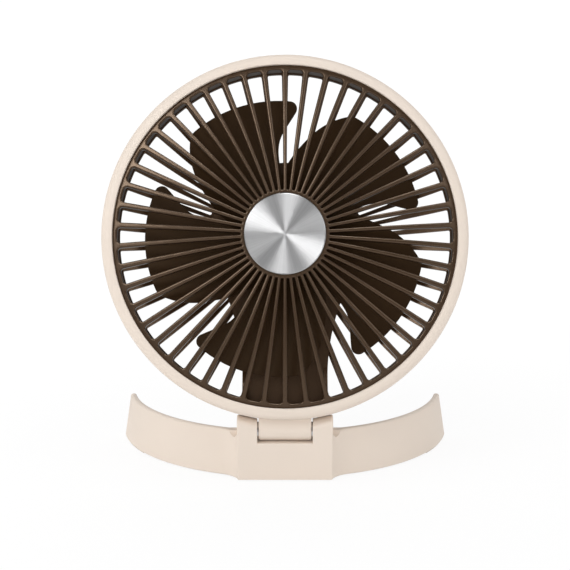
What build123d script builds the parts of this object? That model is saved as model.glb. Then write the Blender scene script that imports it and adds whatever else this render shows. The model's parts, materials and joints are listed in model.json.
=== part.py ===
from build123d import *
import math
import os

# A rechargeable desk fan: a round head on a tilting hinge, over a base with two curved arms.
# Millimetres. The origin is on the table, under the middle of the base block, and the fan faces -Y.

# Head and hinge: driving dimensions
ring_radius = 100.0
rest_tilt = 16.3
hinge_height = 27.0
hinge_below_ring = 5.5
foot_proud = 0.6

# Clearances: fitted plastic, running shafts, sliding button, and how far a cut overruns
fit_gap = 0.2
run_gap = 0.03
slide_gap = 0.15
overrun = 1.0

# Outer ring
ring_front = 14.5
ring_back = 0.5
ring_wall = 2.6
lip_width = 6.2
lip_thick = 2.3
bead_round = 4.6
lip_round = 0.5
ring_back_round = 0.8
boss_count = 6
ring_boss_radius = 2.2
ring_boss_inset = 2.0

# Front grille
rib_count = 50
rib_inner_width = 1.8
rib_outer_width = 2.75
rib_depth = 3.8
rib_round = 0.85
rim_face = 2.6
rim_thick = 2.6
skirt_wall = 1.6
skirt_ledge = 0.15
window_outer_round = 2.0
window_inner_round = 0.5
crown_rise = 8.0
collar_radius = 23.5
collar_depth = 5.0
collar_round = 0.5
disc_radius = 22.0
disc_thick = 1.2
disc_recess = 0.8
disc_gap = 0.4
disc_chamfer = 0.45

# Rear grille and housing
rear_rim_thick = 2.6
rear_dome_depth = 15.5
rear_shell = 2.4
rear_rib_inner_width = 1.7
rear_rib_outer_width = 3.5
rear_window_round = 0.8
rear_window_margin = 1.4
rear_rim_margin = 0.4
housing_radius = 42.6
spine_half_width = 23.4
spine_end_radius = 93.0
flare_radius = 120.0
housing_front = 5.5
housing_seam = 18.5
housing_back = 24.0
housing_wall = 2.0
front_wall = 1.8
cover_round = 4.0
cover_skin = 1.8

# Impeller
impeller_radius = 77.0
blade_count = 5
blade_tip_angle = 13.5
blade_mid_angle = 26.0
blade_front = 8.6
blade_back = 3.0
blade_thick = 1.6
blade_camber = 1.6
blade_root_rise = 7.5
blade_tip_round = 4.0
blade_heel_round = 8.0
hub_radius = 21.5
hub_front = 10.4
hub_back = 3.0
hub_round = 2.0
# Blade edges in front view: share of the impeller radius, degrees from the tip of the blade
lead_edge_shares = [(0.24, 2.0), (0.42, 6.5), (0.60, 8.8), (0.70, 7.6), (0.83, 2.6), (0.99, -1.9)]
trail_edge_shares = [(0.99, 47.0), (0.88, 54.5), (0.79, 59.5), (0.68, 65.0), (0.54, 73.0), (0.24, 88.0)]

# Motor
shaft_radius = 1.5
bearing_radius = 3.0
bearing_length = 4.0
tube_radius = 4.0
tube_front = 6.5
flange_radius = 12.0
flange_thick = 1.8
stator_radius = 16.0
stator_front = 5.0
stator_back = 0.0
stator_yoke = 3.0
tooth_count = 9
tooth_width = 2.6
shoe_depth = 1.4
shoe_angle = 30.0
coil_thick = 0.9
air_gap = 0.6
magnet_thick = 2.0
magnet_length = 7.0
can_wall = 0.9
can_front = 8.4
can_back = 3.0
motor_board_radius = 15.0
motor_board_front = 2.5
motor_board_thick = 0.8
bush_radius = 4.5
bush_back = 7.0
bush_front = 9.5
clip_radius = 2.7
clip_thick = 0.5
clip_depth = 6.1
shaft_tail = 0.5
centre_hole_radius = 4.6

# Battery, board and controls
battery_width = 40.0
battery_top = 33.0
battery_length = 50.0
battery_thick = 9.0
battery_round = 2.0
tape_thick = 0.4
lead_radius = 0.65
lead_spacing = 2.4
lead_bend = 3.0
lead_hole_radius = 3.8
motor_lead_height = 13.6
board_radius = 33.0
board_bottom = 26.0
board_front = 14.6
board_thick = 1.6
board_screw_radius = 27.0
board_screw_angles = [20.0, 160.0, 90.0]
switch_size = 6.2
switch_height = 1.8
switch_well = 1.5
switch_well_radius = 1.8
button_radius = 7.0
button_proud = 0.6
button_flange = 1.2
button_flange_thick = 1.0
button_travel = 0.7
button_stem_radius = 1.5
button_dish = 0.4
button_round = 0.5
usb_width = 9.0
usb_height = 3.3
usb_length = 6.6
usb_shell = 0.35
usb_tongue = 0.7
usb_drop = 14.0
led_count = 4
led_spacing = 4.5
led_rise = 13.0
led_size = 1.6
led_height = 0.7
guide_radius = 1.0
guide_bar = 2.6
guide_bar_thick = 0.9

# Screws: small ones inside, and their heads
screw_radius = 1.0
screw_head_radius = 1.9
screw_head = 1.1
screw_length = 6.0
screw_slot = 0.5
boss_radius = 2.6
cover_boss_radius_place = 36.6
cover_screw_angles = [12.0, 64.0, 116.0, 168.0]
motor_screw_place = 9.0
motor_screw_count = 3
motor_screw_start = 150.0
knuckle_screw_x = 9.0
knuckle_screw_place = 2.4
knuckle_thread_share = 0.85

# Hinge
hinge_inset = 6.0
ear_gap = 0.25
ear_round = 3.0
knuckle_radius = 5.3
knuckle_width = 28.7
slot_width = 30.2
slot_gap = 0.4
slot_round = 0.4
slot_lip_round = 0.8
pin_radius = 1.75
pin_half_length = 24.0
cap_radius = 3.6
cap_thick = 1.5
bush_outer = 3.0
friction_bush_length = 11.0
washer_radius = 4.6
washer_thick = 0.6
knuckle_round = 0.8

# Base
block_width = 52.2
block_depth = 16.6
arm_top = 25.9
arm_centre = 91.7
arm_outer_bottom = 96.9
arm_outer_top = 93.0
arm_thick = 3.5
arm_end_angle = 79.3
flare_reach_low = 35.0
flare_reach_top = 38.5
flare_inset = 0.8
flare_bite = 0.1
base_round = 0.9
arm_top_round = 1.3
arm_low_round = 0.7
cavity_half_width = 12.0
cavity_half_depth = 4.4
cavity_roof = 3.2
cover_half_width = 21.0
cover_half_depth = 5.6
base_cover_thick = 2.0
base_screw_x = 17.0
pad_half_width = 23.0
pad_half_depth = 6.3
pad_inset = 0.8
pad_round = 2.5
arm_pad_width = 1.8
arm_pad_start = 58.0
arm_pad_end = 74.0

# Sizes that follow from those above
lip_radius = ring_radius - lip_width
wall_radius = ring_radius - ring_wall
rim_front = ring_front - lip_thick
rim_radius = wall_radius - fit_gap
window_radius = lip_radius - rim_face
skirt_radius = window_radius + skirt_ledge
rear_rim_front = rear_rim_thick - ring_back
skirt_back = rear_rim_front + fit_gap
crown_front = rim_front + crown_rise
ring_boss_place = wall_radius - ring_boss_inset
ring_boss_angles = [90 + 360 / boss_count * step for step in range(boss_count)]
rib_pitch = 360 / rib_count
board_back = board_front + board_thick
cover_inside = housing_back - cover_skin
can_radius = stator_radius + air_gap + magnet_thick + can_wall
knuckle_screw_length = ring_wall + (hinge_below_ring - bush_outer) * knuckle_thread_share
slot_floor = hinge_height - knuckle_radius - slot_gap
cover_low = foot_proud + pad_inset
cover_high = cover_low + base_cover_thick
hinge_y = hinge_inset - block_depth / 2
hinge = Vector(0, hinge_y, hinge_height)
at_hinge = Pos(0, hinge_y, hinge_height)

# Head frame: X across, Y up the face of the head, Z out of its front; its origin is level with the hinge
tilt = math.radians(rest_tilt)
head_front = Vector(0, -math.cos(tilt), math.sin(tilt))
head_up = Vector(0, math.sin(tilt), math.cos(tilt))
hinge_drop = ring_radius + hinge_below_ring
head = Plane(origin=hinge + head_up * hinge_drop, x_dir=(1, 0, 0), z_dir=head_front).location

upward = (Align.CENTER, Align.CENTER, Align.MIN)


def disc(radius, low, high):
    """A round slab about Z, from low to high."""
    return Pos(0, 0, low) * Cylinder(radius, high - low, align=upward)


def tube(outer, inner, low, high):
    """A round tube about Z, from low to high."""
    return disc(outer, low, high) - disc(inner, low - overrun, high + overrun)


def box(x, y, z):
    """A box from pairs of lowest and highest coordinates."""
    sizes = (x[1] - x[0], y[1] - y[0], z[1] - z[0])
    middle = ((x[0] + x[1]) / 2, (y[0] + y[1]) / 2, (z[0] + z[1]) / 2)
    return Pos(*middle) * Box(*sizes)


def polar(radius, angle):
    """A point of the XY plane from a radius and an angle in degrees."""
    return (radius * math.cos(math.radians(angle)), radius * math.sin(math.radians(angle)))


def around(shape, angles):
    """Copies of a shape turned about Z."""
    return [Rot(0, 0, angle) * shape for angle in angles]


def spread(count, start):
    """Even angles all the way round."""
    return [start + 360 / count * step for step in range(count)]


def spun(outline):
    """A solid turned about Z from an outline whose x is the radius and whose y is the height."""
    return revolve(Plane.XZ * make_face(outline), Axis.Z)


def rounded_corners(face, corners):
    """A flat face with the corners nearest to the given points rounded."""
    for point, radius in corners:
        face = fillet(face.vertices().sort_by_distance(Vector(*point))[0], radius)
    return face


def group(solids):
    """Separate solids kept together in one node."""
    return Compound(children=list(solids))


def placed(place, piece):
    """A piece moved to its place, one solid at a time."""
    solids = [place * solid for solid in piece.solids()]
    return group(solids) if len(solids) > 1 else solids[0]


def screw(length):
    """A slotted pan-head screw along -Z, with the seat of its head at zero."""
    head = disc(screw_head_radius, 0, screw_head)
    head = fillet(head.edges().group_by(Axis.Z)[-1], screw_head / 2)
    reach = (-screw_head_radius, screw_head_radius)
    slot = (-screw_slot / 2, screw_slot / 2)
    depth = (screw_head / 2, screw_head + overrun)
    return head + disc(screw_radius, -length, 0) - box(reach, slot, depth) - box(slot, reach, depth)


def screw_hole(low, high):
    """The hole that a screw of this fan turns into."""
    return disc(screw_radius, low, high)


def screw_way(low, high):
    """The clearance hole that a screw of this fan passes through."""
    return disc(screw_radius + fit_gap, low, high)


# Head shell


def ball_height(radius, inner, outer, rise):
    """How far a ball's surface drops from an inner radius to another, when it drops by rise at outer."""
    centre_drop = ((outer**2 - inner**2) / rise + rise) / 2
    ball = math.hypot(centre_drop, inner)
    return centre_drop - math.sqrt(ball**2 - radius**2)


def crown(radius):
    """Height of the grille's front face, which curves down from its collar to its rim."""
    reach = lip_radius - collar_radius
    bend = (reach**2 + crown_rise**2) / (2 * crown_rise)
    return crown_front - bend + math.sqrt(bend**2 - (radius - collar_radius) ** 2)


def dome(radius):
    """Height of the rear grille's front face, a shallow bowl."""
    rise = rear_dome_depth + rear_rim_front
    return ball_height(radius, housing_radius, window_radius, rise) - rear_dome_depth


def knuckle_screw_places():
    """Seats of the knuckle's screw heads inside the ring, with Z out through its wall."""
    inside = math.sqrt(wall_radius**2 - (knuckle_screw_x + screw_head_radius) ** 2)
    turn = Rot(90, 0, 0)
    return [Pos(side * knuckle_screw_x, -inside, knuckle_screw_place) * turn for side in (-1, 1)]


def make_head_ring():
    outline = Polyline(
        (lip_radius, rim_front),
        (lip_radius, ring_front),
        (ring_radius, ring_front),
        (ring_radius, -ring_back),
        (wall_radius, -ring_back),
        (wall_radius, rim_front),
        close=True,
    )
    corners = [
        ((ring_radius, ring_front), bead_round),
        ((lip_radius, ring_front), lip_round),
        ((ring_radius, -ring_back), ring_back_round),
    ]
    ring = revolve(Plane.XZ * rounded_corners(make_face(outline), corners), Axis.Z)
    boss_front = rim_front - rim_thick - fit_gap
    boss = Pos(ring_boss_place, 0, 0) * disc(ring_boss_radius, skirt_back, boss_front)
    hole = Pos(ring_boss_place, 0, 0) * screw_hole(skirt_back - overrun, boss_front - fit_gap)
    ring = ring + [item & disc(ring_radius, -ring_back, rim_front) for item in around(boss, ring_boss_angles)]
    ring = ring - around(hole, ring_boss_angles)
    return ring - [place * screw_way(-ring_wall, ring_wall * 2) for place in knuckle_screw_places()]


def rib_window(inner, outer, inner_width, outer_width, inner_round, outer_round):
    """One gap between two ribs in front view, about the X axis, with rounded corners."""
    half = rib_pitch / 2
    side = Vector(math.sin(math.radians(half)), -math.cos(math.radians(half)))
    near = Vector(*polar(inner, half)) + side * (inner_width / 2)
    far = Vector(*polar(outer, half)) + side * (outer_width / 2)
    near_low = Vector(near.X, -near.Y)
    far_low = Vector(far.X, -far.Y)
    sides = Polyline(far_low, near_low, near, far)
    end = ThreePointArc(far, Vector(math.hypot(far.X, far.Y), 0), far_low)
    corners = [
        ((far.X, far.Y), outer_round),
        ((far.X, -far.Y), outer_round),
        ((near.X, near.Y), inner_round),
        ((near.X, -near.Y), inner_round),
    ]
    return rounded_corners(make_face(sides + end), corners)


def is_window_edge(edge):
    """Whether an edge lies on the grille's front face round a window."""
    middle = edge.center()
    radius = math.hypot(middle.X, middle.Y)
    near_face = abs(middle.Z - crown(radius)) < rib_depth / 4
    return near_face and collar_radius + collar_round - run_gap < radius < window_radius + fit_gap


def make_front_grille():
    mid_radius = (collar_radius + lip_radius) / 2
    skirt_outer = skirt_radius + skirt_wall
    top = ThreePointArc(
        (collar_radius, crown_front), (mid_radius, crown(mid_radius)), (lip_radius, rim_front)
    )
    rim = Polyline(
        (lip_radius, rim_front),
        (rim_radius, rim_front),
        (rim_radius, rim_front - rim_thick),
        (skirt_outer, rim_front - rim_thick),
        (skirt_outer, skirt_back),
        (skirt_radius, skirt_back),
        (skirt_radius, crown(skirt_radius) - rib_depth),
    )
    under = ThreePointArc(
        (skirt_radius, crown(skirt_radius) - rib_depth),
        (mid_radius, crown(mid_radius) - rib_depth),
        (collar_radius, crown_front - rib_depth),
    )
    collar = Polyline(
        (collar_radius, crown_front - rib_depth),
        (collar_radius, crown_front - collar_depth),
        (0, crown_front - collar_depth),
        (0, crown_front),
        (collar_radius, crown_front),
    )
    grille = spun(top + rim + under + collar)
    window = rib_window(
        collar_radius + collar_round,
        window_radius,
        rib_inner_width,
        rib_outer_width,
        window_inner_round,
        window_outer_round,
    )
    tool = Pos(0, 0, -overrun) * extrude(window, crown_front + overrun + overrun)
    grille = grille - around(tool, spread(rib_count, 90 + rib_pitch / 2))
    grille = fillet(grille.edges().filter_by(is_window_edge), rib_round)
    recess = disc(disc_radius + disc_gap, crown_front - disc_recess, crown_front + overrun)
    return grille - recess


def make_centre_disc():
    low = crown_front - disc_recess
    plate = disc(disc_radius, low, low + disc_thick)
    return chamfer(plate.edges().group_by(Axis.Z)[-1], disc_chamfer)


# Rear shell


def keyhole(inset):
    """Outline of the rear housing: a circle that flares into a spine, drawn in by an inset."""
    circle = housing_radius - inset
    half = spine_half_width - inset
    end = spine_end_radius - inset
    flare = flare_radius + inset
    flare_x = half + flare
    flare_y = -math.sqrt((circle + flare) ** 2 - flare_x**2)
    share = circle / (circle + flare)
    waist = (flare_x * share, flare_y * share)
    waist_angle = math.degrees(math.atan2(waist[1] - flare_y, waist[0] - flare_x))
    turn = polar(flare, (waist_angle + 180) / 2)
    bend = (flare_x + turn[0], flare_y + turn[1])
    foot = (half, -math.sqrt(end**2 - half**2))
    outline = ThreePointArc(waist, (0, circle), (-waist[0], waist[1]))
    outline += ThreePointArc((-waist[0], waist[1]), (-bend[0], bend[1]), (-half, flare_y))
    outline += Line((-half, flare_y), (-foot[0], foot[1]))
    outline += ThreePointArc((-foot[0], foot[1]), (0, -end), foot)
    outline += Line(foot, (half, flare_y))
    outline += ThreePointArc((half, flare_y), bend, waist)
    return make_face(outline)


def keyhole_slab(inset, low, high):
    """The housing outline as a slab along Z."""
    return Pos(0, 0, low) * extrude(keyhole(inset), high - low)


def rear_arc(drop):
    """The rear grille in section: its front face, or its rear face when dropped by the shell."""
    inner = housing_radius - housing_wall
    places = (window_radius, (window_radius + inner) / 2, inner)
    return ThreePointArc(*[(radius, dome(radius) - drop) for radius in places])


def behind_dome():
    """All the room behind the front face of the rear dome."""
    face = rear_arc(0)
    rest = Polyline(
        face @ 1,
        (0, (face @ 1).Y),
        (0, -housing_back),
        (rim_radius, -housing_back),
        (rim_radius, rear_rim_front),
        face @ 0,
    )
    return spun(face + rest)


def board_boss_places():
    return [polar(board_screw_radius, angle) for angle in board_screw_angles]


def cover_boss_places():
    return [polar(cover_boss_radius_place, angle) for angle in cover_screw_angles]


def motor_screw_places():
    return [polar(motor_screw_place, angle) for angle in spread(motor_screw_count, motor_screw_start)]


def make_rear_grille():
    front = rear_arc(0)
    back = rear_arc(rear_shell)
    bowl = spun(front + Line(front @ 1, back @ 1) + back + Line(back @ 0, front @ 0))
    window = rib_window(
        housing_radius + rear_window_margin,
        window_radius - rear_rim_margin,
        rear_rib_inner_width,
        rear_rib_outer_width,
        rear_window_round,
        rear_window_round,
    )
    depth = rear_dome_depth + rear_shell + overrun
    tool = Pos(0, 0, -depth) * extrude(window, depth + rear_rim_front + overrun)
    bowl = bowl - around(tool, spread(rib_count, 90 + rib_pitch / 2))
    bowl = bowl - keyhole_slab(housing_wall / 2, -depth, rear_rim_front + overrun)
    rim = tube(rim_radius, window_radius - rear_rim_margin, -ring_back, rear_rim_front)
    walls = keyhole_slab(0, -housing_seam, rear_rim_front)
    walls = walls - keyhole_slab(housing_wall, -housing_seam - overrun, rear_rim_front + overrun)
    panel = keyhole_slab(0, -housing_front - front_wall, -housing_front)
    room = behind_dome()
    low_walls = keyhole_slab(0, -housing_seam, -housing_front)
    low_walls = low_walls - keyhole_slab(housing_wall, -housing_seam - overrun, rear_rim_front)
    shell = bowl + rim + (walls & room) + low_walls + panel
    wall_back = -housing_front - front_wall / 2
    for x, y in board_boss_places():
        shell = shell + Pos(x, y, 0) * disc(boss_radius, -board_front, wall_back)
        shell = shell - Pos(x, y, 0) * screw_hole(-board_front - overrun, wall_back)
    for x, y in cover_boss_places():
        shell = shell + Pos(x, y, 0) * disc(boss_radius, -cover_inside, wall_back)
        shell = shell - Pos(x, y, 0) * screw_hole(-cover_inside - overrun, wall_back)
    for x, y in motor_screw_places():
        shell = shell - Pos(x, y, 0) * screw_way(-housing_seam, 0)
    shell = shell - disc(centre_hole_radius, -housing_seam, 0)
    shell = shell - Pos(0, motor_lead_height, 0) * disc(lead_hole_radius, -housing_seam, 0)
    recess = screw_head_radius + fit_gap
    hole = Pos(ring_boss_place, 0, 0) * screw_way(-overrun, rear_rim_front + overrun)
    sink = Pos(ring_boss_place, 0, 0) * disc(recess, -ring_back - overrun, screw_head - ring_back)
    shell = shell - around(hole, ring_boss_angles) - around(sink, ring_boss_angles)
    head_room = disc(screw_head_radius + fit_gap, -screw_head - fit_gap, overrun)
    return shell - [place * head_room for place in knuckle_screw_places()]


def rounded_slot(width, height, low, high):
    """A slab with round ends, along Z."""
    return Pos(0, 0, low) * extrude(RectangleRounded(width, height, height / 2 - run_gap), high - low)


def led_places():
    middle = (led_count - 1) / 2
    return [((step - middle) * led_spacing, led_rise) for step in range(led_count)]


def make_rear_cover():
    shell = keyhole_slab(0, -housing_back, -housing_seam)
    shell = fillet(shell.edges().group_by(Axis.Z)[0], cover_round)
    shell = shell - keyhole_slab(housing_wall, -cover_inside, -housing_seam + overrun)
    shell = shell - disc(button_radius + slide_gap, -housing_back - overrun, -housing_seam)
    usb = rounded_slot(usb_width + fit_gap, usb_height + fit_gap, -housing_back - overrun, -housing_seam)
    shell = shell - Pos(0, -usb_drop, 0) * usb
    for x, y in led_places():
        shell = shell - Pos(x, y, 0) * disc(guide_radius + run_gap, -housing_back - overrun, -housing_seam)
    for x, y in cover_boss_places():
        shell = shell - Pos(x, y, 0) * screw_way(-housing_back - overrun, -housing_seam)
        sink = disc(screw_head_radius + fit_gap, -housing_back - overrun, screw_head - housing_back)
        shell = shell - Pos(x, y, 0) * sink
    return shell


def make_grille_screws():
    turned = Pos(ring_boss_place, 0, screw_head - ring_back) * Rot(180, 0, 0)
    return group(around(turned * screw(screw_length), ring_boss_angles))


def make_cover_screws():
    turned = Pos(0, 0, screw_head - housing_back) * Rot(180, 0, 0) * screw(screw_length)
    return group([Pos(x, y, 0) * turned for x, y in cover_boss_places()])


# Impeller


def blade_section(radius, rise):
    """A cambered strip across a blade, square to its middle line, that climbs by rise each way."""
    half = impeller_radius * math.sin(math.radians(blade_mid_angle))
    middle = (blade_front - blade_back) / 2
    upper = blade_thick / 2
    strip = []
    for offset in (upper, -upper):
        start = (-half, middle - rise + offset)
        end = (half, middle + rise + offset)
        strip.append(ThreePointArc(start, (0, middle - blade_camber + offset), end))
    top, low = strip
    face = make_face(top + Line(top @ 1, low @ 1) + low + Line(low @ 0, top @ 0))
    return Plane(origin=(radius, 0, 0), x_dir=(0, 1, 0), z_dir=(1, 0, 0)) * face


def blade_outline():
    """A blade in front view, about the X axis, drawn from its edges."""
    lead = [Vector(*polar(r * impeller_radius, a - blade_mid_angle)) for r, a in lead_edge_shares]
    trail = [Vector(*polar(r * impeller_radius, a - blade_mid_angle)) for r, a in trail_edge_shares]
    tip = ThreePointArc(lead[-1], Vector(impeller_radius, 0), trail[0])
    return make_face(Spline(*lead) + tip + Spline(*trail) + Line(trail[-1], lead[0]))


def make_blade():
    tip_rise = (blade_front + blade_back - blade_thick) / 2
    plate = loft([blade_section(0, blade_root_rise), blade_section(impeller_radius + overrun, tip_rise)])
    depth = blade_front + blade_back + blade_root_rise
    prism = Pos(0, 0, -depth) * extrude(blade_outline(), depth + depth)
    lead = polar(lead_edge_shares[-1][0] * impeller_radius, lead_edge_shares[-1][1] - blade_mid_angle)
    trail = polar(trail_edge_shares[0][0] * impeller_radius, trail_edge_shares[0][1] - blade_mid_angle)
    for point, radius in ((lead, blade_tip_round), (trail, blade_heel_round)):
        edges = prism.edges().filter_by(Axis.Z)
        prism = fillet(edges.sort_by_distance(Vector(*point))[0], radius)
    return plate & prism


def make_impeller():
    hub = disc(hub_radius, -hub_back, hub_front)
    hub = fillet(hub.edges().group_by(Axis.Z)[-1], hub_round)
    blades = around(make_blade(), spread(blade_count, blade_tip_angle + blade_mid_angle))
    impeller = hub + blades
    impeller = impeller - disc(can_radius + fit_gap / 4, -hub_back - blade_front, can_front + fit_gap / 4)
    return impeller - disc(bush_radius + fit_gap / 4, 0, bush_front + fit_gap / 4)


# Motor


def make_rotor_can():
    can = disc(can_radius, -can_back, can_front)
    can = can - disc(can_radius - can_wall, -can_back - overrun, can_front - can_wall)
    return can - disc(bush_radius, 0, can_front + overrun)


def make_magnet_ring():
    inner = stator_radius + air_gap
    middle = (stator_front + stator_back) / 2
    return tube(inner + magnet_thick, inner, middle - magnet_length / 2, middle + magnet_length / 2)


def make_motor_shaft():
    shaft = disc(shaft_radius, -clip_depth - clip_thick - shaft_tail, bush_front)
    return chamfer(shaft.edges().filter_by(GeomType.CIRCLE), shaft_radius / 5)


def make_shaft_bush():
    return tube(bush_radius, shaft_radius, bush_back, bush_front)


def make_retaining_clip():
    clip = tube(clip_radius, shaft_radius, -clip_depth - clip_thick, -clip_depth)
    gap = (-shaft_radius / 2, shaft_radius / 2)
    return clip - box(gap, (0, clip_radius), (-clip_depth - clip_thick, -clip_depth))


def make_bearing_tube():
    flange = disc(flange_radius, -housing_front, flange_thick - housing_front)
    body = flange + disc(tube_radius, -housing_front, tube_front)
    body = body - disc(bearing_radius, -housing_front - overrun, tube_front + overrun)
    for x, y in motor_screw_places():
        body = body - Pos(x, y, 0) * screw_hole(-housing_front - overrun, 0)
    return body


def make_bearing(low):
    bearing = tube(bearing_radius, shaft_radius + run_gap, low, low + bearing_length)
    return chamfer(bearing.edges().filter_by(GeomType.CIRCLE), (bearing_radius - shaft_radius) / 8)


def make_front_bearing():
    return make_bearing(tube_front - bearing_length)


def make_rear_bearing():
    return make_bearing(-housing_front)


def make_stator_core():
    yoke = tube_radius + stator_yoke
    core = disc(yoke, stator_back, stator_front)
    half = tooth_width / 2
    tooth = box((0, stator_radius - shoe_depth / 2), (-half, half), (stator_back, stator_front))
    rim = tube(stator_radius, stator_radius - shoe_depth, stator_back, stator_front)
    reach = math.tan(math.radians(shoe_angle / 2)) * stator_radius
    wedge = Polyline((0, 0), (stator_radius, -reach), (stator_radius, reach), close=True)
    sector = Pos(0, 0, stator_back) * extrude(make_face(wedge), stator_front - stator_back)
    core = core + around(tooth + (rim & sector), spread(tooth_count, 90))
    return core - disc(tube_radius, stator_back - overrun, stator_front + overrun)


def make_stator_coils():
    start = tube_radius + stator_yoke + fit_gap
    end = stator_radius - shoe_depth - fit_gap
    half = tooth_width / 2 + run_gap
    low = stator_back - run_gap
    high = stator_front + run_gap
    outer = box(
        (start, end), (-half - coil_thick, half + coil_thick), (low - coil_thick, high + coil_thick)
    )
    outer = fillet(outer.edges().filter_by(Axis.X), coil_thick)
    coil = outer - box((start - overrun, end + overrun), (-half, half), (low, high))
    return group(around(coil, spread(tooth_count, 90)))


def make_motor_board():
    back = -motor_board_front - motor_board_thick
    return tube(motor_board_radius, tube_radius + run_gap, back, -motor_board_front)


def make_motor_screws():
    seat = -housing_front - front_wall
    turned = Pos(0, 0, seat) * Rot(180, 0, 0) * screw(front_wall + flange_thick)
    return group([Pos(x, y, 0) * turned for x, y in motor_screw_places()])


def make_motor_leads():
    places = [(step * lead_spacing, motor_lead_height) for step in (-1, 0, 1)]
    start = -motor_board_front - motor_board_thick
    return group([Pos(x, y, 0) * disc(lead_radius, -board_front, start) for x, y in places])


# Battery, board and controls


def make_battery():
    front = -housing_front - front_wall - tape_thick
    half = battery_width / 2
    pouch = box((-half, half), (-battery_top - battery_length, -battery_top), (front - battery_thick, front))
    return fillet(pouch.edges().filter_by(Axis.Y), battery_round)


def make_battery_tape():
    front = -housing_front - front_wall
    half = battery_width / 2 - battery_round
    low = -battery_top - battery_length + battery_round
    return box((-half, half), (low, -battery_top - battery_round), (front - tape_thick, front))


def make_battery_leads():
    level = -housing_front - front_wall - tape_thick - battery_round
    end = lead_bend * 2 - board_bottom
    leads = []
    for x in (-lead_spacing, lead_spacing):
        start = (x, -battery_top, level)
        path = FilletPolyline(start, (x, end, level), (x, end, -board_front), radius=lead_bend)
        section = Plane(origin=start, z_dir=(0, 1, 0)) * Circle(lead_radius)
        leads.append(sweep(section, path))
    return group(leads)


def make_control_board():
    board = disc(board_radius, -board_back, -board_front)
    low = (-board_radius - overrun, -board_bottom)
    board = board - box((-board_radius, board_radius), low, (-board_back, -board_front))
    ways = [Pos(x, y, 0) * screw_way(-board_back - overrun, 0) for x, y in board_boss_places()]
    return board - ways


def make_board_screws():
    turned = Pos(0, 0, -board_back) * Rot(180, 0, 0) * screw(screw_length)
    return group([Pos(x, y, 0) * turned for x, y in board_boss_places()])


def make_usb_socket():
    back = -board_back - usb_length
    shell = rounded_slot(usb_width, usb_height, back, -board_back)
    wide = usb_width - usb_shell * 2
    tall = usb_height - usb_shell * 2
    shell = shell - rounded_slot(wide, tall, back - overrun, -board_back - usb_tongue)
    half = usb_width / 2 - usb_height / 2
    thin = usb_tongue / 2
    tongue = box((-half, half), (-thin, thin), (back + usb_tongue, -board_back))
    return Pos(0, -usb_drop, 0) * (shell + tongue)


def make_tact_switch():
    half = switch_size / 2
    top = -board_back - switch_height
    body = box((-half, half), (-half, half), (top, -board_back))
    return body - disc(switch_well_radius, top - overrun, top + switch_well)


def make_speed_button():
    top = -housing_back - button_proud
    cap = disc(button_radius, top, -cover_inside + slide_gap)
    cap = fillet(cap.edges().group_by(Axis.Z)[0], button_round)
    ball = (button_radius**2 + button_dish**2) / (2 * button_dish)
    cap = cap - Pos(0, 0, top + button_dish - ball) * Sphere(ball)
    flange_back = slide_gap - cover_inside
    cap = cap + disc(button_radius + button_flange, flange_back, flange_back + button_flange_thick)
    reach = switch_well - button_travel - fit_gap
    return cap + disc(button_stem_radius, flange_back, reach - board_back - switch_height)


def make_indicator_leds():
    half = led_size / 2
    led = box((-half, half), (-half / 2, half / 2), (-board_back - led_height, -board_back))
    return group([Pos(x, y, 0) * led for x, y in led_places()])


def make_light_guide():
    inside = -cover_inside
    half = (led_count - 1) / 2 * led_spacing + guide_bar / 2
    guide = box((-half, half), (-guide_bar / 2, guide_bar / 2), (inside, inside + guide_bar_thick))
    guide = Pos(0, led_rise, 0) * guide
    front = -board_back - led_height - fit_gap
    return guide + [Pos(x, y, 0) * disc(guide_radius, -housing_back, front) for x, y in led_places()]


# Hinge


def across(radius, half_length):
    """A round bar along X about the origin."""
    return Rot(0, 90, 0) * disc(radius, -half_length, half_length)


def both_sides(shape):
    """A shape and its mirror image in the YZ plane."""
    return group([shape, mirror(shape, Plane.YZ)])


def make_hinge_knuckle():
    half = knuckle_width / 2
    web = box((-half, half), (-hinge_drop, -lip_radius), (-ring_back, knuckle_radius))
    knuckle = Pos(0, -hinge_drop, 0) * across(knuckle_radius, half) + web
    knuckle = knuckle - disc(ring_radius + fit_gap / 4, -ring_front, ring_front)
    ends = [edge for edge in knuckle.edges() if abs(abs(edge.center().X) - half) < run_gap]
    low_ends = [edge for edge in ends if edge.center().Y < -ring_radius]
    knuckle = fillet(low_ends, knuckle_round)
    bore = across(pin_radius + fit_gap, half + overrun)
    seat = across(bush_outer, half + overrun) - across(bush_outer, half - friction_bush_length)
    knuckle = knuckle - Pos(0, -hinge_drop, 0) * (bore + seat)
    return knuckle - [place * screw_hole(0, knuckle_screw_length) for place in knuckle_screw_places()]


def make_knuckle_screws():
    return group([place * Rot(180, 0, 0) * screw(knuckle_screw_length) for place in knuckle_screw_places()])


def make_friction_bushes():
    half = knuckle_width / 2
    bush = across(bush_outer, half) - across(bush_outer + overrun, half - friction_bush_length)
    bush = bush - across(pin_radius + run_gap, half + overrun)
    return group(Pos(0, -hinge_drop, 0) * solid for solid in bush.solids())


def make_hinge_pin():
    pin = across(pin_radius, pin_half_length)
    return at_hinge * chamfer(pin.edges().filter_by(GeomType.CIRCLE), pin_radius / 5)


def make_pin_caps():
    outer = block_width / 2
    caps = across(cap_radius, outer) - across(cap_radius + overrun, outer - cap_thick)
    return group(at_hinge * solid for solid in caps.solids())


def make_hinge_washers():
    middle = (knuckle_width + slot_width) / 4
    inner = middle - washer_thick / 2
    washers = across(washer_radius, inner + washer_thick) - across(washer_radius + overrun, inner)
    washers = washers - across(pin_radius + run_gap, slot_width)
    return group(at_hinge * solid for solid in washers.solids())


# Base


def arm_point(radius, angle):
    """A point of the base plan from the arms' centre, with the angle from straight ahead."""
    turn = math.radians(angle)
    return Vector(radius * math.sin(turn), arm_centre - radius * math.cos(turn))


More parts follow.
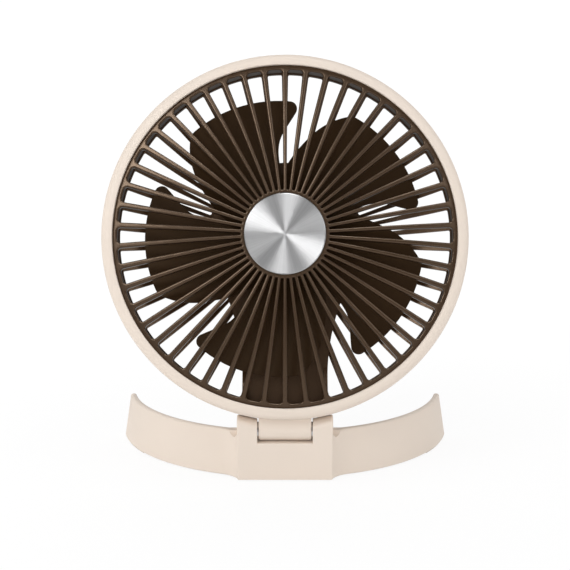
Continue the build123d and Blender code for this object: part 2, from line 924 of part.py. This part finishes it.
def arm_plan(outer, flare_reach):
    """The right arm in plan at one level: its curved band, and the flare that joins it to the block."""
    inner = outer - arm_thick
    middle = outer - arm_thick / 2
    root = (block_width + slot_width) / 4
    rear = block_depth / 2 - base_round
    join_angle = math.degrees(math.acos((arm_centre - rear) / inner))
    join = arm_point(inner, join_angle)
    tip_angle = arm_end_angle + math.degrees(arm_thick / 2 / middle)
    flare_angle = math.degrees(math.asin(flare_reach / outer))
    flare = arm_point(outer, flare_angle)
    front = Vector(block_width / 2 - flare_bite, flare_inset - block_depth / 2)
    toward = Vector(1, 0).rotate(Axis.Z, 180 + flare_angle)
    tip_inner = arm_point(inner, arm_end_angle)
    tip_outer = arm_point(outer, arm_end_angle)
    outline = Polyline(front, Vector(root, front.Y), Vector(root, rear), join)
    outline += ThreePointArc(join, arm_point(inner, (join_angle + arm_end_angle) / 2), tip_inner)
    outline += ThreePointArc(tip_inner, arm_point(middle, tip_angle), tip_outer)
    outline += ThreePointArc(tip_outer, arm_point(outer, (flare_angle + arm_end_angle) / 2), flare)
    outline += TangentArc(flare, front, tangent=toward)
    return make_face(outline)


def make_arm():
    low = Pos(0, 0, foot_proud) * arm_plan(arm_outer_bottom, flare_reach_low)
    high = Pos(0, 0, arm_top) * arm_plan(arm_outer_top, flare_reach_top)
    arm = loft([low, high], ruled=True)
    arm = fillet(arm.edges().group_by(Axis.Z)[-1], arm_top_round)
    return fillet(arm.edges().group_by(Axis.Z)[0], arm_low_round)


def ear_reach(x):
    """How far an ear stands out from the hinge's axis at x, just clear of the ring at every tilt."""
    return hinge_drop - math.sqrt(ring_radius**2 - x**2) - ear_gap


def make_block():
    """The block between the arms, with two ears for the hinge and a slot between them."""
    half = block_width / 2
    wall = slot_width / 2
    front = -block_depth / 2
    top = hinge_height + ear_reach(half)
    section = Polyline((wall, 0), (wall, ear_reach(wall)), (half, ear_reach(half)), (half, 0), close=True)
    ear = at_hinge * revolve(make_face(section), Axis.X)
    ear = ear & box((wall, half), (front, -front), (foot_proud, top))
    upper = [edge for edge in ear.edges() if edge.center().Z > hinge_height + run_gap]
    ear = fillet([edge for edge in upper if edge.center().Y < front + run_gap], ear_round)
    block = box((-half, half), (front, -front), (foot_proud, arm_top)) + ear + mirror(ear, Plane.YZ)
    block = block - box((-wall, wall), (-block_depth, block_depth), (slot_floor, top + overrun))
    outer = [edge for edge in block.edges() if abs(abs(edge.center().X) - half) < run_gap]
    block = fillet(outer, base_round)
    floor = [edge for edge in block.edges() if abs(edge.center().Z - slot_floor) < run_gap]
    block = fillet([edge for edge in floor if edge.center().Y < front + run_gap], slot_lip_round)
    inner = [edge for edge in block.edges() if abs(abs(edge.center().X) - wall) < run_gap]
    return fillet([edge for edge in inner if edge.center().Z > slot_floor + run_gap], slot_round)


def pad_plan(extra):
    return RectangleRounded((pad_half_width + extra) * 2, (pad_half_depth + extra) * 2, pad_round)


def arm_pad(extra):
    """The rubber strip under the right arm."""
    middle = arm_outer_bottom - arm_thick / 2
    outer = middle + arm_pad_width / 2 + extra
    inner = middle - arm_pad_width / 2 - extra
    centre = (arm_pad_start + arm_pad_end) / 2
    outline = ThreePointArc(*[arm_point(outer, angle) for angle in (arm_pad_start, centre, arm_pad_end)])
    back = ThreePointArc(*[arm_point(inner, angle) for angle in (arm_pad_end, centre, arm_pad_start)])
    outline += Line(outline @ 1, back @ 0)
    outline += back
    outline += Line(back @ 1, arm_point(outer, arm_pad_start))
    return extrude(make_face(outline), cover_low)


def make_base_frame():
    arm = make_arm()
    frame = make_block() + arm + mirror(arm, Plane.YZ)
    frame = frame - at_hinge * across(pin_radius, pin_half_length + fit_gap)
    cap_way = across(cap_radius + run_gap, block_width)
    cap_way = cap_way - across(cap_radius + overrun, block_width / 2 - cap_thick)
    frame = frame - at_hinge * cap_way
    frame = frame - extrude(pad_plan(fit_gap), cover_low)
    wide = cover_half_width + fit_gap
    deep = cover_half_depth + fit_gap
    frame = frame - box((-wide, wide), (-deep, deep), (0, cover_high))
    wide = cavity_half_width
    deep = cavity_half_depth
    frame = frame - box((-wide, wide), (-deep, deep), (0, slot_floor - cavity_roof))
    for side in (-1, 1):
        frame = frame - Pos(side * base_screw_x, 0, 0) * screw_hole(0, cover_high + screw_length)
    pad = arm_pad(fit_gap / 2)
    return frame - pad - mirror(pad, Plane.YZ)


def make_base_cover():
    wide = cover_half_width
    deep = cover_half_depth
    cover = box((-wide, wide), (-deep, deep), (cover_low, cover_high))
    for side in (-1, 1):
        place = Pos(side * base_screw_x, 0, 0)
        cover = cover - place * screw_way(0, cover_high + overrun)
        cover = cover - place * disc(screw_head_radius + fit_gap, 0, cover_low + screw_head)
    return cover


def make_base_screws():
    seat = Pos(base_screw_x, 0, cover_low + screw_head) * Rot(180, 0, 0)
    return both_sides(seat * screw(screw_length))


def make_front_foot():
    pad = extrude(pad_plan(0), cover_low)
    return fillet(pad.edges().group_by(Axis.Z)[0], foot_proud / 2)


def make_arm_feet():
    return both_sides(arm_pad(0))


# Every piece, built in the head frame or standing on the table

head_pieces = {
    "head_ring": make_head_ring,
    "front_grille": make_front_grille,
    "centre_disc": make_centre_disc,
    "rear_grille": make_rear_grille,
    "rear_cover": make_rear_cover,
    "grille_screws": make_grille_screws,
    "cover_screws": make_cover_screws,
    "impeller": make_impeller,
    "rotor_can": make_rotor_can,
    "magnet_ring": make_magnet_ring,
    "motor_shaft": make_motor_shaft,
    "shaft_bush": make_shaft_bush,
    "retaining_clip": make_retaining_clip,
    "bearing_tube": make_bearing_tube,
    "front_bearing": make_front_bearing,
    "rear_bearing": make_rear_bearing,
    "stator_core": make_stator_core,
    "stator_coils": make_stator_coils,
    "motor_board": make_motor_board,
    "motor_screws": make_motor_screws,
    "motor_leads": make_motor_leads,
    "battery": make_battery,
    "battery_tape": make_battery_tape,
    "battery_leads": make_battery_leads,
    "control_board": make_control_board,
    "board_screws": make_board_screws,
    "usb_socket": make_usb_socket,
    "tact_switch": make_tact_switch,
    "speed_button": make_speed_button,
    "indicator_leds": make_indicator_leds,
    "light_guide": make_light_guide,
    "hinge_knuckle": make_hinge_knuckle,
    "knuckle_screws": make_knuckle_screws,
    "friction_bushes": make_friction_bushes,
}

base_pieces = {
    "base_frame": make_base_frame,
    "base_cover": make_base_cover,
    "base_screws": make_base_screws,
    "front_foot": make_front_foot,
    "arm_feet": make_arm_feet,
    "hinge_pin": make_hinge_pin,
    "pin_caps": make_pin_caps,
    "hinge_washers": make_hinge_washers,
}


def main():
    os.makedirs("parts", exist_ok=True)
    for name, make in head_pieces.items():
        export_step(placed(head, make()), f"parts/{name}.step")
    for name, make in base_pieces.items():
        export_step(placed(Location(), make()), f"parts/{name}.step")


if __name__ == "__main__":
    main()
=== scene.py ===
import json
import math

import bpy
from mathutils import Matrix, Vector

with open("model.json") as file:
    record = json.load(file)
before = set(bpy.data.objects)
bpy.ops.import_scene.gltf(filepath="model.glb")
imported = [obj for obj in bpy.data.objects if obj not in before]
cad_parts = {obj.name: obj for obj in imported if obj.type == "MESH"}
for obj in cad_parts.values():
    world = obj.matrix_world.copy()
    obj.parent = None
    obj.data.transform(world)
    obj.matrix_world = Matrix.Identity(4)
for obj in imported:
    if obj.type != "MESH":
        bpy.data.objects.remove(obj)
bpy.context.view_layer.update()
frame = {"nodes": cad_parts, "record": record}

# Directions and places on the head, in the part's frame, in metres
TILT = math.radians(16.3)
HEAD_FRONT = Vector((0, -math.cos(TILT), math.sin(TILT)))
HEAD_UP = Vector((0, math.sin(TILT), math.cos(TILT)))
ACROSS = Vector((1, 0, 0))
REARWARD = Vector((0, 1, 0))
HINGE = Vector((0, -0.0023, 0.027))
HINGE_TO_CENTRE = 0.1055
HEAD_CENTRE = HINGE + HEAD_UP * HINGE_TO_CENTRE

# The charging socket: its place below the head's centre, and half the sizes of its tongue, in metres
USB_DROP = 0.014
TONGUE_HALF_HEIGHT = 0.00062
TONGUE_HALF_WIDTH = 0.0031

# Half the width of the middle lead's share between the outer leads, in metres
MIDDLE_LEAD_REACH = 0.0012

# Colours of the pieces in sight, and the tints of their gloss
WHITE = (1.0, 1.0, 1.0)
BLACK = (0.0, 0.0, 0.0)
CREAM = (0.79, 0.690, 0.600)
BROWN = (0.0315, 0.0165, 0.0079)
# The brown painted lighter for the rear grille and cover: painted light on the panel that the front grille
# shades
PAINTED_LIGHT_REAR_BROWN = (0.073, 0.0365, 0.0165)
BROWN_GLOSS = (1.0, 0.74, 0.54)
BLADE = (0.039, 0.0190, 0.0069)
BLADE_GLOSS = (1.0, 0.80, 0.62)
DISC = (0.68, 0.68, 0.685)
FLOOR_GREY = (0.88, 0.88, 0.88)

# Moulded plastic: the scale of the melt's flow, its share in the roughness, and how far the roughness drifts
FLOW_SCALE = 26.0
FLOW_SHARE = 0.35
PLASTIC_DRIFT = 0.06

# Metal: the scale of the bloom on it, how far that shifts the tone, and how far the roughness drifts
BLOOM_SCALE = 160.0
BLOOM_TONE = 0.10
METAL_DRIFT = 0.08

# Brightness of the floor as it is seen
FLOOR_GLOW = 1.03

# Camera at the photograph's place, in metres and degrees, with its lens in millimetres
CAMERA_PLACE = (0.0, -0.8043, 0.2739)
CAMERA_PITCH = 11.7
LENS_LENGTH = 96.76
SENSOR_WIDTH = 36.0


def add(tree, kind, settings=None, inputs=None):
    """Adds a shader node, sets its options, and fills or links its inputs by name or number."""
    node = tree.nodes.new(kind)
    for key, value in (settings or {}).items():
        setattr(node, key, value)
    for key, value in (inputs or {}).items():
        if isinstance(value, bpy.types.NodeSocket):
            tree.links.new(value, node.inputs[key])
        else:
            node.inputs[key].default_value = value
    return node


def new_material(name, **fixed):
    """A material with its Principled shader, some of its inputs fixed, and the coordinates on its wearer."""
    mat = bpy.data.materials.new(name)
    mat.use_nodes = True
    tree = mat.node_tree
    shader = tree.nodes["Principled BSDF"]
    for key, value in fixed.items():
        shader.inputs[key.replace("_", " ")].default_value = value
    place = tree.nodes.new("ShaderNodeTexCoord").outputs["Object"]
    return mat, tree, shader, place


def rgba(colour, gain=1.0):
    return tuple(min(1.0, c * gain) for c in colour) + (1.0,)


def math_node(tree, operation, *values):
    return add(tree, "ShaderNodeMath", {"operation": operation}, dict(enumerate(values))).outputs[0]


def vector_node(tree, operation, *values, output="Vector"):
    inputs = {number: tuple(v) if isinstance(v, Vector) else v for number, v in enumerate(values)}
    return add(tree, "ShaderNodeVectorMath", {"operation": operation}, inputs).outputs[output]


def dot(tree, place, direction):
    """Distance along a direction."""
    return vector_node(tree, "DOT_PRODUCT", place, direction, output="Value")


def noise(tree, place, scale, detail=2.0, roughness=0.5):
    inputs = {"Vector": place, "Scale": scale, "Detail": detail, "Roughness": roughness}
    return add(tree, "ShaderNodeTexNoise", None, inputs).outputs["Fac"]


def noise_along(tree, value, scale, detail, roughness):
    """Noise along one measure."""
    inputs = {"W": value, "Scale": scale, "Detail": detail, "Roughness": roughness}
    return add(tree, "ShaderNodeTexNoise", {"noise_dimensions": "1D"}, inputs).outputs["Fac"]


def cells(tree, place, scale, feature="F1", **more):
    """Distance to the middle of the nearest cell."""
    inputs = {"Vector": place, "Scale": scale, **more}
    return add(tree, "ShaderNodeTexVoronoi", {"feature": feature}, inputs).outputs["Distance"]


def spread(tree, value, low, high, from_low=0.3, from_high=0.7):
    """Maps a value's range, or a texture's middle values, onto another range."""
    inputs = {"Value": value, "From Min": from_low, "From Max": from_high, "To Min": low, "To Max": high}
    return add(tree, "ShaderNodeMapRange", None, inputs).outputs[0]


def blend(tree, factor, first, second):
    """Mixes two colours, each a socket or a plain colour."""
    node = add(tree, "ShaderNodeMix", {"data_type": "RGBA"})
    factor_in, _, _, _, _, _, first_in, second_in = node.inputs[:8]
    tree.links.new(factor, factor_in)
    for socket, value in ((first_in, first), (second_in, second)):
        if isinstance(value, bpy.types.NodeSocket):
            tree.links.new(value, socket)
        else:
            socket.default_value = rgba(value)
    return node.outputs[2]


def shades(tree, factor, colour, tone):
    """A colour that drifts by a share of itself to either side."""
    darker, lighter = (rgba(colour, gain)[:3] for gain in (1 - tone, 1 + tone))
    return blend(tree, spread(tree, factor, 0.0, 1.0), darker, lighter)


def dress(tree, shader, colour, rough, height, depth):
    """Links the colour and the roughness, and a bump of a depth in metres."""
    tree.links.new(colour, shader.inputs["Base Color"])
    tree.links.new(rough, shader.inputs["Roughness"])
    inputs = {"Height": height, "Distance": depth, "Strength": 1.0}
    tree.links.new(add(tree, "ShaderNodeBump", None, inputs).outputs[0], shader.inputs["Normal"])


def about_axis(tree, place):
    """Measures about the fan's axis: the place from the head's centre, across, upward, and the radius."""
    centred = vector_node(tree, "SUBTRACT", place, HEAD_CENTRE)
    across = dot(tree, centred, ACROSS)
    upward = dot(tree, centred, HEAD_UP)
    squares = (math_node(tree, "MULTIPLY", side, side) for side in (across, upward))
    return centred, across, upward, math_node(tree, "SQRT", math_node(tree, "ADD", *squares))


def moulded(name, colour, rough, grain, depth, tone, specular=0.5, tint=WHITE):
    """Moulded plastic: a fine spark-eroded grain, and faint drifts of tone from the flow of the melt."""
    mat, tree, shader, place = new_material(name, Specular_IOR_Level=specular, Specular_Tint=rgba(tint))
    fine = noise(tree, place, grain, detail=3.0, roughness=0.6)
    flow = noise(tree, place, FLOW_SCALE, detail=4.0, roughness=0.55)
    fine_part = math_node(tree, "MULTIPLY", fine, 1 - FLOW_SHARE)
    mixed = math_node(tree, "MULTIPLY_ADD", flow, FLOW_SHARE, fine_part)
    roughness = spread(tree, mixed, rough - PLASTIC_DRIFT, rough + PLASTIC_DRIFT)
    dress(tree, shader, shades(tree, flow, colour, tone), roughness, fine, depth)
    return mat


def metal(name, colour, rough, scale, stretch=(1.0, 1.0, 1.0), depth=0.000006):
    """Drawn, turned or plated metal: fine lines along one direction, and a faint bloom over the surface."""
    mat, tree, shader, place = new_material(name, Metallic=1.0)
    lines_at = add(tree, "ShaderNodeMapping", None, {"Vector": place, "Scale": stretch}).outputs[0]
    lines = noise(tree, lines_at, scale, detail=3.0, roughness=0.6)
    bloom = noise(tree, place, BLOOM_SCALE, detail=4.0, roughness=0.6)
    roughness = spread(tree, lines, rough - METAL_DRIFT, rough + METAL_DRIFT)
    dress(tree, shader, shades(tree, bloom, colour, BLOOM_TONE), roughness, lines, depth)
    return mat


def spun_metal():
    """The disc in the grille: turned metal, whose fine rings stretch each light into two bright sectors."""
    mat, tree, shader, place = new_material("spun_metal", Metallic=1.0, Anisotropic=1.0)
    centred, across, upward, radius = about_axis(tree, place)
    along = vector_node(tree, "CROSS_PRODUCT", HEAD_FRONT, centred)
    outward = vector_node(tree, "CROSS_PRODUCT", along, HEAD_FRONT)
    tree.links.new(vector_node(tree, "NORMALIZE", outward), shader.inputs["Tangent"])
    rings = noise_along(tree, radius, scale=9000.0, detail=3.0, roughness=0.6)
    # Faint streaks from the middle outward, painted sheen: the colour a little lighter or darker by the
    # angle round the disc
    angle = math_node(tree, "ARCTAN2", upward, across)
    painted_sheen_streak = noise_along(tree, angle, scale=14.0, detail=5.0, roughness=0.65)
    roughness = spread(tree, rings, 0.38, 0.46)
    dress(tree, shader, shades(tree, painted_sheen_streak, DISC, tone=0.05), roughness, rings, depth=0.000004)
    return mat


def copper():
    """Enamelled winding wire, laid in turns round each tooth of the stator."""
    mat, tree, shader, place = new_material("copper", Metallic=0.9, Coat_Weight=0.6, Coat_Roughness=0.15)
    waves_per_metre = 7800.0
    # The copper painted darker in the grooves between the turns, as painted shade
    painted_groove_shade, crest, brown_varnish = (0.24, 0.075, 0.028), (0.62, 0.25, 0.10), (0.35, 0.11, 0.04)
    radius = about_axis(tree, place)[-1]
    wave = math_node(tree, "SINE", math_node(tree, "MULTIPLY", radius, waves_per_metre))
    turns = math_node(tree, "ABSOLUTE", wave)
    varnish = noise(tree, place, scale=500.0, detail=3.0)
    # Painted shade: darker in the grooves between the turns, the copper's own colour on their crests
    colour = blend(tree, turns, painted_groove_shade, crest)
    colour = blend(tree, spread(tree, varnish, 0.0, 0.35), colour, brown_varnish)
    dress(tree, shader, colour, spread(tree, varnish, 0.25, 0.45), turns, depth=0.00012)
    return mat


def circuit_board():
    """Green solder mask over copper tracks, with the weave of the glass cloth just showing."""
    mat, tree, shader, place = new_material("circuit_board")
    dark_mask, light_mask = (0.012, 0.085, 0.035), (0.018, 0.11, 0.047)
    track_mask, solder = (0.035, 0.20, 0.085), (0.66, 0.62, 0.50)
    pad_radius = 0.16
    tracks = add(tree, "ShaderNodeTexBrick", {"offset": 0.5, "squash": 0.7}, {
        "Vector": place, "Color1": rgba(BLACK), "Color2": rgba(BLACK), "Mortar": rgba(WHITE),
        "Scale": 180.0, "Mortar Size": 0.035, "Mortar Smooth": 0.3}).outputs["Color"]
    weave = {"Vector": place, "Scale": 900.0, "Distortion": 1.0}
    cloth = add(tree, "ShaderNodeTexWave", None, weave).outputs["Fac"]
    pad = math_node(tree, "LESS_THAN", cells(tree, place, scale=190.0), pad_radius)
    mask = blend(tree, spread(tree, cloth, 0.0, 1.0, 0.0, 1.0), dark_mask, light_mask)
    mask = blend(tree, tracks, mask, track_mask)
    roughness = spread(tree, cloth, 0.28, 0.38, 0.0, 1.0)
    dress(tree, shader, blend(tree, pad, mask, solder), roughness, tracks, depth=0.00004)
    return mat


def battery_foil():
    """The aluminium laminate of a pouch cell, a little crumpled, with a dull lacquer."""
    mat, tree, shader, place = new_material("battery_foil", Metallic=0.85)
    dull, bright = (0.47, 0.48, 0.50), (0.60, 0.61, 0.63)
    crumple = cells(tree, place, scale=130.0, feature="SMOOTH_F1", Smoothness=0.6)
    haze = noise(tree, place, scale=300.0, detail=4.0)
    colour = blend(tree, spread(tree, haze, 0.0, 1.0), dull, bright)
    dress(tree, shader, colour, spread(tree, haze, 0.32, 0.46), crumple, depth=0.00018)
    return mat


def foam_tape():
    """Double-sided foam tape: open pores in a pale sheet, the pores painted darker as painted shade."""
    mat, tree, shader, place = new_material("tape")
    painted_pore_shade, sheet, stain = (0.40, 0.39, 0.35), (0.72, 0.70, 0.64), (0.55, 0.52, 0.45)
    pore_edges = {"from_low": 0.1, "from_high": 0.6}
    pores = cells(tree, place, scale=2600.0)
    tint = noise(tree, place, scale=140.0, detail=3.0)
    # Painted shade: the pores darker than the sheet
    colour = blend(tree, spread(tree, pores, 0.0, 1.0, **pore_edges), painted_pore_shade, sheet)
    colour = blend(tree, spread(tree, tint, 0.0, 0.2), colour, stain)
    dress(tree, shader, colour, spread(tree, pores, 0.9, 0.7, **pore_edges), pores, depth=0.0001)
    return mat


def wire():
    """Silicone insulation: red on one side of the middle, black on the other, white on the middle lead."""
    mat, tree, shader, place = new_material("wire")
    white, red = (0.62, 0.60, 0.56), (0.42, 0.022, 0.018)
    black, fleck_grey = (0.018, 0.018, 0.020), (0.2, 0.2, 0.2)
    across = dot(tree, place, ACROSS)
    right = math_node(tree, "GREATER_THAN", across, MIDDLE_LEAD_REACH)
    left = math_node(tree, "LESS_THAN", across, -MIDDLE_LEAD_REACH)
    fleck = noise(tree, place, scale=2200.0)
    colour = blend(tree, right, white, red)
    colour = blend(tree, left, colour, black)
    colour = blend(tree, spread(tree, fleck, 0.0, 0.08), colour, fleck_grey)
    dress(tree, shader, colour, spread(tree, fleck, 0.42, 0.55), fleck, depth=0.00002)
    return mat


def usb_metal():
    """The charging socket: a drawn steel shell, with the black tongue of its contacts inside."""
    mat, tree, shader, place = new_material("usb_socket")
    dull_steel, bright_steel = (0.50, 0.50, 0.51), (0.62, 0.62, 0.63)
    tongue_black, gold = (0.014, 0.014, 0.015), (0.70, 0.50, 0.22)
    waves_per_metre, contact_edge = 12600.0, 0.45
    centred = vector_node(tree, "SUBTRACT", place, HEAD_CENTRE)
    level = math_node(tree, "ABSOLUTE", math_node(tree, "ADD", dot(tree, centred, HEAD_UP), USB_DROP))
    across = math_node(tree, "ABSOLUTE", dot(tree, centred, ACROSS))
    inside = math_node(tree, "MULTIPLY", math_node(tree, "LESS_THAN", level, TONGUE_HALF_HEIGHT),
                       math_node(tree, "LESS_THAN", across, TONGUE_HALF_WIDTH))
    wave = math_node(tree, "SINE", math_node(tree, "MULTIPLY", across, waves_per_metre))
    contacts = math_node(tree, "GREATER_THAN", wave, contact_edge)
    drawn = noise(tree, place, scale=1500.0, detail=3.0)
    steel = blend(tree, spread(tree, drawn, 0.0, 1.0), dull_steel, bright_steel)
    tongue = blend(tree, contacts, tongue_black, gold)
    tree.links.new(math_node(tree, "SUBTRACT", 1.0, inside), shader.inputs["Metallic"])
    roughness = spread(tree, drawn, 0.24, 0.40)
    dress(tree, shader, blend(tree, inside, steel, tongue), roughness, drawn, depth=0.000008)
    return mat


def led_lens():
    """Small lamp bodies: a clear lens with yellow phosphor spots."""
    mat, tree, shader, place = new_material("led_white")
    phosphor, lens_white = (0.80, 0.62, 0.16), (0.86, 0.86, 0.80)
    grain = noise(tree, place, scale=3000.0)
    spots = spread(tree, cells(tree, place, scale=420.0), 0.0, 1.0, from_low=0.15, from_high=0.45)
    colour = blend(tree, spots, phosphor, lens_white)
    dress(tree, shader, colour, spread(tree, grain, 0.12, 0.22), grain, depth=0.00001)
    return mat


def clear_guide():
    """The light guide behind the indicator holes: frosted clear plastic."""
    mat, tree, shader, place = new_material("light_guide", Transmission_Weight=0.55, IOR=1.49)
    milky, clear = (0.76, 0.77, 0.75), (0.90, 0.90, 0.88)
    frost = noise(tree, place, scale=2400.0, detail=3.0)
    milk = noise(tree, place, scale=300.0, detail=3.0)
    colour = blend(tree, spread(tree, milk, 0.0, 1.0), milky, clear)
    dress(tree, shader, colour, spread(tree, frost, 0.25, 0.45), frost, depth=0.00002)
    return mat


brown_finish = {
    "rough": 0.31, "grain": 1300.0, "depth": 0.000012, "tone": 0.05, "specular": 0.80, "tint": BROWN_GLOSS,
}
materials = {
    "cream": moulded("cream", CREAM, rough=0.48, grain=1500.0, depth=0.000012, tone=0.012, specular=0.24),
    "brown": moulded("brown", BROWN, **brown_finish),
    "blade_brown": moulded("blade_brown", BLADE, rough=0.50, grain=1300.0, depth=0.000016, tone=0.06,
                           specular=0.15, tint=BLADE_GLOSS),
    "spun_metal": spun_metal(),
    "button": moulded("button", CREAM, rough=0.36, grain=1700.0, depth=0.00001, tone=0.012),
    "screw_steel": metal("screw_steel", (0.34, 0.34, 0.35), rough=0.34, scale=1800.0),
    "bright_steel": metal("bright_steel", (0.58, 0.58, 0.59), rough=0.22, scale=2600.0,
                          stretch=(0.08, 1.0, 1.0)),
    "motor_steel": metal("motor_steel", (0.42, 0.42, 0.43), rough=0.36, scale=1400.0,
                         stretch=(1.0, 1.0, 0.15)),
    "magnet": moulded("magnet", (0.05, 0.05, 0.055), rough=0.58, grain=1100.0, depth=0.00004, tone=0.12,
                      specular=0.4),
    "bronze": metal("bronze", (0.46, 0.31, 0.15), rough=0.42, scale=2600.0, depth=0.00002),
    "alloy": metal("alloy", (0.62, 0.62, 0.63), rough=0.30, scale=1500.0),
    "copper": copper(),
    "circuit_board": circuit_board(),
    "battery_foil": battery_foil(),
    "tape": foam_tape(),
    "wire": wire(),
    "switch_black": moulded("switch_black", (0.022, 0.022, 0.023), rough=0.46, grain=1800.0, depth=0.00002,
                            tone=0.10),
    "led_white": led_lens(),
    "light_guide": clear_guide(),
    "bush_plastic": moulded("bush_plastic", (0.70, 0.70, 0.67), rough=0.34, grain=1600.0, depth=0.00001,
                            tone=0.03),
    "base_cover": moulded("base_cover", (0.70, 0.61, 0.53), rough=0.50, grain=1200.0, depth=0.00003,
                          tone=0.03),
    "rubber": moulded("rubber", (0.62, 0.54, 0.46), rough=0.78, grain=1500.0, depth=0.00005, tone=0.05,
                      specular=0.3),
}
# The same brown plastic as the front grille, painted lighter as painted light
rear_brown_painted_lighter = moulded("rear_brown_painted_lighter", PAINTED_LIGHT_REAR_BROWN, **brown_finish)
own = {"usb_socket": usb_metal(), "rear_grille": rear_brown_painted_lighter, "rear_cover": rear_brown_painted_lighter}

# Each CAD node wears the material of its slot, or its own: the charging socket its own pattern, and the rear
# grille and cover a copy of the brown painted lighter, as painted light on the panel that the front grille
# shades
for entry in frame["record"]["subparts"]:
    piece = frame["nodes"][entry["node"]]
    finish = own.get(entry["node"], materials[entry["material_slot"]])
    if not piece.material_slots:
        piece.data.materials.append(finish)
    for place in piece.material_slots:
        place.material = finish

scene = bpy.context.scene
scene.view_settings.view_transform = "Standard"


def seen_directly(tree):
    """One for rays from the camera and for those that gloss or clear plastic sends on."""
    path = add(tree, "ShaderNodeLightPath").outputs
    seen = math_node(tree, "MAXIMUM", path["Is Camera Ray"], path["Is Glossy Ray"])
    return math_node(tree, "MAXIMUM", seen, path["Is Transmission Ray"])


def mixed_shader(tree, share, first, second, output):
    """Mixes two shaders into the tree's output."""
    mixed = add(tree, "ShaderNodeMixShader", None, {0: share, 1: first, 2: second}).outputs[0]
    add(tree, output, None, {"Surface": mixed})


# Floor: pale, seen as white, and it keeps a soft shadow of the fan
bpy.ops.mesh.primitive_plane_add(size=60.0, location=(0, 0, 0))
floor = bpy.context.object
floor.name = "floor"
paper = bpy.data.materials.new("floor_paper")
paper.use_nodes = True
tree = paper.node_tree
tree.nodes.clear()
matte = add(tree, "ShaderNodeBsdfDiffuse", None, {"Color": rgba(FLOOR_GREY)}).outputs[0]
spot = add(tree, "ShaderNodeTexCoord").outputs["Object"]
reach = vector_node(tree, "LENGTH", spot, output="Value")
whiteness = spread(tree, reach, 0.84, 1.0, from_low=0.16, from_high=0.60)
share = math_node(tree, "MULTIPLY", seen_directly(tree), whiteness)
# Behind the fan, gloss sees the floor as dim as it sees the backdrop
rear = spread(tree, dot(tree, spot, REARWARD), 0.0, 0.85, from_low=0.05, from_high=0.40)
dim = math_node(tree, "MULTIPLY", add(tree, "ShaderNodeLightPath").outputs["Is Glossy Ray"], rear)
shine = math_node(tree, "MULTIPLY_ADD", dim, -FLOOR_GLOW, FLOOR_GLOW)
glow = add(tree, "ShaderNodeEmission", None, {"Color": rgba(WHITE), "Strength": shine}).outputs[0]
mixed_shader(tree, share, matte, glow, "ShaderNodeOutputMaterial")
floor.data.materials.append(paper)

# World: a studio with a bright backdrop, white where it is seen, and dimmer where only gloss shows it
world = bpy.data.worlds.new("studio")
scene.world = world
world.use_nodes = True
tree = world.node_tree
tree.nodes.clear()
way = add(tree, "ShaderNodeTexCoord").outputs["Generated"]
behind = spread(tree, dot(tree, way, REARWARD), 0.0, 1.0, from_low=-0.3, from_high=0.3)
ambient_level = spread(tree, behind, 0.60, 1.00, from_low=0.0, from_high=1.0)
gloss_level = spread(tree, behind, 0.20, 0.30, from_low=0.0, from_high=1.0)
direct = add(tree, "ShaderNodeLightPath").outputs["Is Camera Ray"]
seen_level = math_node(tree, "MAXIMUM", gloss_level, direct)
ambient, white = (
    add(tree, "ShaderNodeBackground", None, {"Color": rgba(WHITE), "Strength": level}).outputs[0]
    for level in (ambient_level, seen_level)
)
mixed_shader(tree, seen_directly(tree), ambient, white, "ShaderNodeOutputWorld")


def soft_box(name, place, size, power, sheen):
    """A round lamp aimed at the head: for the sheen of its surfaces, or for their colours."""
    lamp = bpy.data.lights.new(name, "AREA")
    lamp.shape = "DISK"
    lamp.size = size
    lamp.energy = power
    holder = bpy.data.objects.new(name, lamp)
    holder.location = place
    holder.rotation_euler = (HEAD_CENTRE - Vector(place)).to_track_quat("-Z", "Y").to_euler()
    holder.visible_glossy = sheen
    holder.visible_diffuse = not sheen
    scene.collection.objects.link(holder)


# Lamps that light the colours: the key from the upper left, and low ones that fill
soft_box("key", (-1.196, -1.399, 1.474), size=1.0, power=9.5, sheen=False)
soft_box("front", (-0.12, -2.0, 0.15), size=1.4, power=8.5, sheen=False)
soft_box("fill", (1.95, -1.1, 0.55), size=1.4, power=6.5, sheen=False)
soft_box("left", (-2.2, -0.6, 0.35), size=1.2, power=8.0, sheen=False)

# Lamps that gloss shows: on the ribs as edges of light, on the turned disc as three pairs of sectors
soft_box("key_sheen", (-1.04, -1.213, 1.298), size=1.05, power=22.0, sheen=True)
soft_box("top_sheen", (0.24, -0.35, 2.29), size=1.0, power=23.0, sheen=True)
soft_box("right_sheen", (1.58, -1.12, 1.36), size=1.3, power=13.0, sheen=True)

lens = bpy.data.cameras.new("camera")
lens.lens = LENS_LENGTH
lens.sensor_width = SENSOR_WIDTH
lens.clip_start = 0.01
lens.clip_end = 200.0
camera = bpy.data.objects.new("camera", lens)
camera.location = CAMERA_PLACE
camera.rotation_euler = (math.radians(90 - CAMERA_PITCH), 0.0, 0.0)
scene.collection.objects.link(camera)
scene.camera = camera
